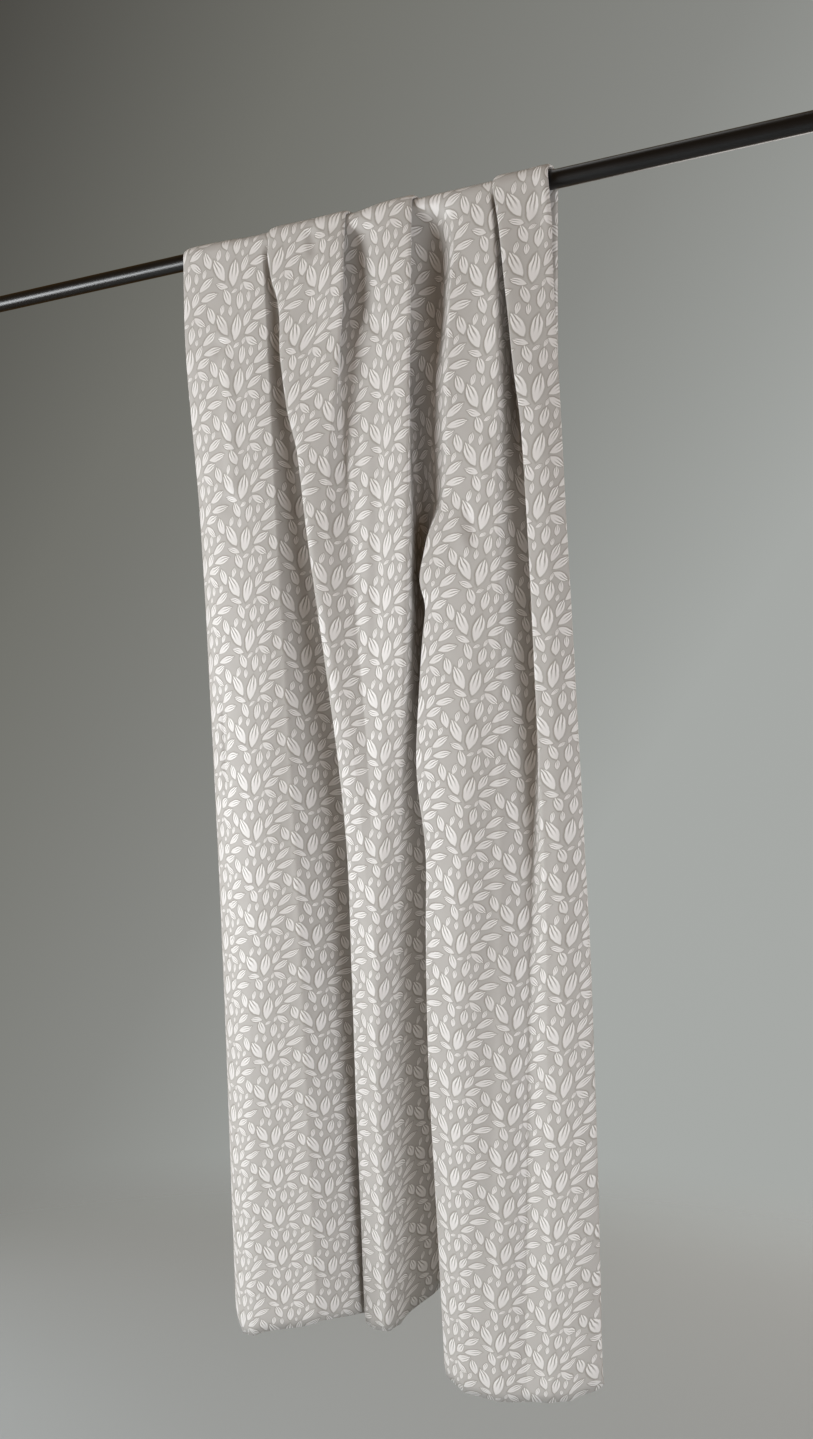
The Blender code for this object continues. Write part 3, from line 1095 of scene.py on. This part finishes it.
@dataclass
class DraperyLength:
    """The cloth: one length over the rod, a long drop in front and a short one behind, in metres.

    Attributes:
        width: Flat width.
        length: Flat length.
        plane: Distance of the cloth's plane from the rod's axis.
        thickness: The cloth's thickness.
        rod_clear: Least distance of the cloth's middle layer from the rod's axis.
        front_length: Length of cloth in the front drop.
        back_drop: Length of the back drop.
        back_stand_off: How far the back drop's hem stands off the rod.
        back_opening: How far its pleats open towards the hem.
        back_draw_in: How far they draw in.
        hem_curl: How far the front hem curls under.
        curl_share: Share of the front drop that curls.
        front_rows: Rows of the mesh in the front drop.
        arc_rows: Rows over the rod.
        back_rows: Rows in the back drop.
        crowding: How much closer the rows stand to the rod.
        sway: How far the cloth sways out of its smooth folds.
        sway_scale: Scale of the swaying, across and along the cloth.
        sway_slice: Slice of the noise that it is read from.
        leaf_foot: Foot of one pair of large leaves, from the middle of the rod's front line.
        leaf_shrink: How much smaller the leaves get with each metre below the rod.
        bake_border: Empty border round each side of the cloth on the map for baking.
        pleats: The cloth's sections.
        face: The finish of the side that shows in front.
        reverse: The finish of the other side, on which leaf and ground change places.
    """

    width: float = 1.12
    length: float = 2.48
    plane: float = 0.01485
    thickness: float = 0.0008
    rod_clear: float = 0.0136
    front_length: float = 1.63
    back_drop: float = 0.80
    back_stand_off: float = 0.078
    back_opening: float = 4.0
    back_draw_in: float = 0.07
    hem_curl: float = 0.004
    curl_share: float = 0.008
    front_rows: int = 142
    arc_rows: int = 8
    back_rows: int = 20
    crowding: float = 1.35
    sway: float = 0.0006
    sway_scale: tuple[float, float] = (14.0, 6.0)
    sway_slice: float = 0.3
    leaf_foot: tuple[float, float] = (0.027, -0.02)
    leaf_shrink: float = 0.116
    bake_border: float = 0.01
    pleats: PleatSections = field(default_factory=PleatSections)
    face: SatinJacquard = SatinJacquard()
    reverse: SatinJacquard = SatinJacquard(
        name="satin_jacquard_reverse",
        ground="CDC9C4",
        leaf="B7B2AC",
        stroke="ADA8A1",
        shade="D3CFCB",
        ground_roughness=0.6,
        leaf_roughness=0.66,
        stroke_depth=0.2,
    )

    def front_row(self, share: float) -> Row:
        """Lays one row of the front drop.

        Args:
            share: How far down the drop the row lies.

        Returns:
            The row.
        """
        spread, flat = self.pleats.columns(self.pleats.places_at(share), self.pleats.radii_at(share), share)
        curl = self.hem_curl * smooth_step((share - (1 - self.curl_share)) / self.curl_share)
        points = [
            Vector((point.x * MM, -self.plane - point.y * MM + curl, -share * drop * MM))
            for point, drop in zip(spread, self.pleats.drops())
        ]
        return points, [(across * MM, (1 - share) * self.front_length) for across in flat]

    def arc_row(self, angle: float) -> Row:
        """Lays one row over the rod.

        Args:
            angle: Angle round the rod from the front.

        Returns:
            The row.
        """
        spread, flat = self.pleats.columns(self.pleats.places_at(0.0), self.pleats.radii_at(0.0), 0.0)
        points = []
        for point in spread:
            radius = self.plane + point.y * MM
            points.append(Vector((point.x * MM, -radius * math.cos(angle), radius * math.sin(angle))))
        return points, [(across * MM, self.front_length + self.plane * angle) for across in flat]

    def back_row(self, share: float) -> Row:
        """Lays one row of the back drop, whose pleats are those on the rod, opened a little.

        Args:
            share: How far down the drop the row lies.

        Returns:
            The row.
        """
        opening = 1 + (self.back_opening - 1) * share
        draw_in = 1 - self.back_draw_in * math.sin(share * math.pi / 2)
        places = [Vector((place.x * draw_in, place.y * opening)) for place in self.pleats.rod_places()]
        radii = {kind: radius * opening for kind, radius in self.pleats.radii_at(0.0).items()}
        spread, flat = self.pleats.columns(self.pleats.fitted(places, radii, 0.0), radii, 0.0)
        away = self.plane + self.back_stand_off * share
        over = self.front_length + self.plane * math.pi
        points = [Vector((point.x * MM, away + point.y * MM, -share * self.back_drop)) for point in spread]
        return points, [(across * MM, over + share * self.back_drop) for across in flat]

    def rows(self) -> list[Row]:
        """Lays every row of the mesh.

        Returns:
            The rows, from the front hem, up over the rod and down to the back hem.
        """
        fronts = [(1 - number / self.front_rows) ** self.crowding for number in range(self.front_rows)]
        backs = [(number / self.back_rows) ** self.crowding for number in range(self.back_rows + 1)]
        rows = [self.front_row(share) for share in fronts]
        rows += [self.arc_row(math.pi * number / self.arc_rows) for number in range(self.arc_rows)]
        return rows + [self.back_row(share) for share in backs]

    def build(self) -> bpy.types.Object:
        """Builds the cloth: a flat grid moved onto the folds, creased, and given its thickness.

        Returns:
            The cloth.
        """
        rows = self.rows()
        across, along = len(rows[0][0]) - 1, len(rows) - 1
        cloth = bmesh.new()
        bmesh.ops.create_grid(cloth, x_segments=across, y_segments=along, size=0.5)
        maps = cloth.verts.layers.float_vector.new("flat")
        for vertex in cloth.verts:
            column = round((vertex.co.x + 0.5) * across)
            points, places = rows[round((vertex.co.y + 0.5) * along)]
            vertex.co = points[column]
            vertex[maps] = (*places[column], 0.0)
        cloth.normal_update()
        for vertex in cloth.verts:
            vertex.co = self.off_rod(vertex.co + vertex.normal * self.lift(vertex[maps]))
        cloth_map = cloth.loops.layers.uv.new(CLOTH_MAP)
        leaf_map = cloth.loops.layers.uv.new(LEAF_MAP)
        for face in cloth.faces:
            face.smooth = True
            for loop in face.loops:
                loop[cloth_map].uv = loop.vert[maps].xy
                loop[leaf_map].uv = self.leaf_place(*loop.vert[maps].xy)
        mesh = bpy.data.meshes.new("drapery_cloth")
        cloth.to_mesh(mesh)
        cloth.free()
        return self.thickened(add_object("drapery_cloth", mesh))

    def off_rod(self, place: Vector) -> Vector:
        """Keeps a point of the cloth's middle layer just outside the rod."""
        push = max(self.rod_clear / math.hypot(place.y, place.z), 1.0)
        return Vector((place.x, place.y * push, place.z * push))

    def leaf_place(self, across: float, along: float) -> tuple[float, float]:
        """Finds a point's place on the leaf repeat, whose leaves get smaller towards the hem.

        Args:
            across: The point's place across the cloth, in metres.
            along: The point's place along the cloth, in metres.

        Returns:
            Its place from the foot of a pair of large leaves, in metres at the rod's scale.
        """
        below = max(self.front_length - along, 0.0)
        scale = 1 / (1 - self.leaf_shrink * below)
        side = (across - self.width / 2) * scale
        up = -below * scale if below else along - self.front_length
        return side - self.leaf_foot[0], up - self.leaf_foot[1]

    def lift(self, place: Vector) -> float:
        """Works out how far creases and sway lift a point of the cloth, in metres.

        Args:
            place: The point's place on the cloth's map.

        Returns:
            The lift.
        """
        creased = sum(crease.lift(place.x / MM, place.y / MM) for crease in CREASES)
        across, along = self.sway_scale
        swaying = noise.noise(Vector((place.x * across, place.y * along, self.sway_slice)))
        return creased * MM + self.sway * swaying

    def thickened(self, piece: bpy.types.Object) -> bpy.types.Object:
        """Gives the cloth its thickness and lays its face and reverse side by side for baking.

        Args:
            piece: The single layer of cloth.

        Returns:
            The same object, with both sides.
        """
        for name in ("face", "reverse"):
            piece.data.materials.append(bpy.data.materials.new(name))
        thicken = piece.modifiers.new("Thickness", "SOLIDIFY")
        thicken.thickness = self.thickness
        thicken.offset = 0.0
        thicken.material_offset = 1
        bpy.context.view_layer.update()
        evaluated = piece.evaluated_get(bpy.context.evaluated_depsgraph_get())
        solid = bpy.data.meshes.new_from_object(evaluated)
        piece.modifiers.clear()
        piece.data = solid
        solid.name = "drapery_cloth"
        solid.uv_layers[CLOTH_MAP].active_render = True
        bake = solid.uv_layers.new(name=BAKE_MAP)
        flat = solid.uv_layers[CLOTH_MAP]
        wide, high = 0.5 - 2 * self.bake_border, 1 - 2 * self.bake_border
        for face in solid.polygons:
            start = self.bake_border + 0.5 * face.material_index
            for index in face.loop_indices:
                u, v = flat.data[index].uv
                place = (start + wide * u / self.width, self.bake_border + high * v / self.length)
                bake.data[index].uv = place
        return piece

    def dress(self, piece: bpy.types.Object) -> None:
        """Gives the cloth its two sides, hangs it on the root body and hides the CAD curtain in its place.

        Args:
            piece: The cloth.
        """
        repeat = LeafRepeat().make()
        for number, side in enumerate((self.face, self.reverse)):
            piece.data.materials[number] = side.make(repeat)
        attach(piece, "root")
        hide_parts("curtain")


@dataclass(frozen=True)
class SoftLight:
    """One studio lamp, a plain square of soft light.

    Attributes:
        name: What the lamp is for.
        place: Where it stands.
        width: Width of its panel.
        height: Height of its panel.
        power: Its power in watts.
        colour: Its colour.
    """

    name: str
    place: tuple[float, float, float]
    width: float
    height: float
    power: float
    colour: str

    def make(self, aim: Vector) -> None:
        """Sets the lamp up, turned to the cloth.

        Args:
            aim: The point that it faces.
        """
        lamp = bpy.data.lights.new(self.name, "AREA")
        lamp.shape = "RECTANGLE"
        lamp.size, lamp.size_y = self.width, self.height
        lamp.energy = self.power
        lamp.color = linear_colour(self.colour)[:3]
        made = add_object(self.name, lamp)
        made.location = self.place
        made.rotation_euler = (aim - Vector(self.place)).to_track_quat("-Z", "Z").to_euler()


@dataclass(frozen=True)
class Studio:
    """The plain studio: pale floor, soft light and the camera, in metres.

    Attributes:
        floor_level: Height of the floor.
        floor_clear: Radius within which the floor shows fully.
        floor_reach: Radius at which it has faded into the backdrop.
        floor_colour: Colour of its matt paint.
        floor_roughness: The paint's roughness.
        focal_pixels: The lens, in pixels of the photograph.
        picture: Width and height of the photograph.
        horizon: The camera's level in the photograph, in pixels from its top.
        turn: How far the camera stands to the right of the cloth, in radians.
        distance: The camera's distance from the point that it faces.
        level: The camera's height.
        faced: Place along the rod that it faces.
        backdrop: Its greys, from the dark to the light side: painted shade and painted light on the
            backdrop.
        backdrop_fall: How much a way that points down counts as the side with painted light.
        backdrop_range: Where the first and the last grey stand.
        bounce: Colour of the light that comes off the room.
        bounce_strength: Its strength.
        aim: The point that the lamps face.
        lamps: The studio's lamps.
    """

    floor_level: float = -2.0
    floor_clear: float = 1.5
    floor_reach: float = 2.7
    floor_colour: str = "B9C1C4"
    floor_roughness: float = 0.85
    focal_pixels: float = 1400.0
    picture: tuple[int, int] = (813, 1439)
    horizon: float = 806.0
    turn: float = math.radians(28)
    distance: float = 1.994
    level: float = -0.845
    faced: float = 0.1
    backdrop: tuple[str, ...] = ("3D3B37", "72726C", "888985", "A6A9A6", "A7AAA7")
    backdrop_fall: float = 0.62
    backdrop_range: tuple[float, float] = (-0.6, 0.4)
    bounce: str = "DAA758"
    bounce_strength: float = 0.17
    aim: tuple[float, float, float] = (0.05, 0.0, -0.8)
    lamps: tuple[SoftLight, ...] = (
        SoftLight("window_side", (-2.46, -1.82, -0.9), 1.1, 2.4, 114.0, "F8FCFF"),
        SoftLight("room_side", (3.23, -1.69, -1.2), 2.0, 2.0, 86.0, "F6FAFF"),
        SoftLight("rear_wall", (0.6, 3.2, -0.2), 2.4, 2.4, 45.0, "FFFAF6"),
        SoftLight("ceiling", (-0.4, -0.1, 1.9), 1.2, 1.2, 6.0, "F8FCFF"),
    )

    def build(self) -> None:
        """Sets up floor, light, surroundings and camera."""
        self.lay_floor()
        for lamp in self.lamps:
            lamp.make(Vector(self.aim))
        self.surround()
        self.place_camera()
        bpy.context.scene.view_settings.view_transform = "Standard"

    def lay_floor(self) -> None:
        """Lays the pale floor, whose matt paint fades out towards its border."""
        floor = bmesh.new()
        bmesh.ops.create_grid(floor, x_segments=1, y_segments=1, size=self.floor_reach)
        bmesh.ops.translate(floor, verts=floor.verts, vec=(0.0, 0.0, self.floor_level))
        mesh = bpy.data.meshes.new("studio_floor")
        floor.to_mesh(mesh)
        floor.free()
        paint, tree, shader = new_material("studio_floor")
        add = partial(add_node, tree)
        place = add("ShaderNodeTexCoord").outputs["Object"]
        flat = add("ShaderNodeVectorMath", {0: place, 1: (1.0, 1.0, 0.0)}, operation="MULTIPLY")
        away = add("ShaderNodeVectorMath", {0: flat}, operation="LENGTH").outputs["Value"]
        faded = {"Value": away, "From Min": self.floor_clear, "From Max": self.floor_reach}
        faded |= {"To Min": 1.0, "To Max": 0.0}
        dressed = {
            "Base Color": linear_colour(self.floor_colour),
            "Roughness": self.floor_roughness,
            "Alpha": add("ShaderNodeMapRange", faded, interpolation_type="SMOOTHSTEP"),
        }
        feed(tree, shader, dressed)
        mesh.materials.append(paint)
        add_object("studio_floor", mesh)

    def surround(self) -> None:
        """Surrounds the scene with a graded grey of painted light and shade that the camera sees, and a dim
        one that lights it.
        """
        world = bpy.data.worlds.new("studio")
        world.use_nodes = True
        bpy.context.scene.world = world
        tree = world.node_tree
        add = partial(add_node, tree)
        way = add("ShaderNodeTexCoord").outputs["Generated"]
        # The backdrop's grading is painted light and shade: lighter to the right and downwards, darker up to
        # the left
        painted_light_side = (math.cos(self.turn), math.sin(self.turn), -self.backdrop_fall)
        graded = add("ShaderNodeVectorMath", {0: way, 1: painted_light_side}, operation="DOT_PRODUCT")
        first, last = self.backdrop_range
        spread = {"Value": graded.outputs["Value"], "From Min": first, "From Max": last}
        share = add("ShaderNodeMapRange", spread)
        ramp = add("ShaderNodeValToRGB", {0: share})
        stops = ramp.color_ramp.elements
        for number in range(1, len(self.backdrop) - 1):
            stops.new(number / (len(self.backdrop) - 1))
        for stop, tone in zip(stops, self.backdrop):
            stop.color = linear_colour(tone)
        seen = tree.nodes["Background"]
        feed(tree, seen, {"Color": ramp, "Strength": 1.0})
        bounced = {"Color": linear_colour(self.bounce), "Strength": self.bounce_strength}
        lit = add("ShaderNodeBackground", bounced)
        ray = add("ShaderNodeLightPath").outputs["Is Camera Ray"]
        mixed = add("ShaderNodeMixShader", {0: ray, 1: lit, 2: seen})
        feed(tree, tree.nodes["World Output"], {"Surface": mixed})

    def place_camera(self) -> None:
        """Places the camera as the photograph was taken."""
        lens = bpy.data.cameras.new("camera")
        lens.sensor_fit = "AUTO"
        lens.lens = self.focal_pixels / self.picture[1] * lens.sensor_width
        lens.shift_y = (self.horizon - self.picture[1] / 2) / self.picture[1]
        camera = add_object("camera", lens)
        across, back = math.sin(self.turn) * self.distance, math.cos(self.turn) * self.distance
        camera.location = (self.faced + across, -back, self.level)
        camera.rotation_euler = (math.pi / 2, 0.0, self.turn)
        bpy.context.scene.camera = camera


@dataclass(frozen=True)
class CurtainRod:
    """The rod: its CAD solid is right as it is, and gets its coat.

    Attributes:
        node: The CAD node's name.
        coat: The rod's finish.
    """

    node: str = "rod"
    coat: PowderCoat = PowderCoat()

    def dress(self) -> None:
        """Gives the rod its coat."""
        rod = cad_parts[self.node]
        rod.data.materials.clear()
        rod.data.materials.append(self.coat.make())


def main() -> None:
    """Builds and dresses every piece in order."""
    logging.basicConfig(level=logging.INFO, format="%(name)s: %(message)s")
    studio = Studio()
    studio.build()
    LOG.info("studio: floor, %d lamps, camera", len(studio.lamps))
    CurtainRod().dress()
    LOG.info("rod: coated")
    drapery = DraperyLength()
    cloth = drapery.build()
    drapery.dress(cloth)
    faces = len(cloth.data.polygons)
    LOG.info("cloth: %d faces, %.2f m by %.2f m flat", faces, drapery.width, drapery.length)


if __name__ == "__main__":
    main()
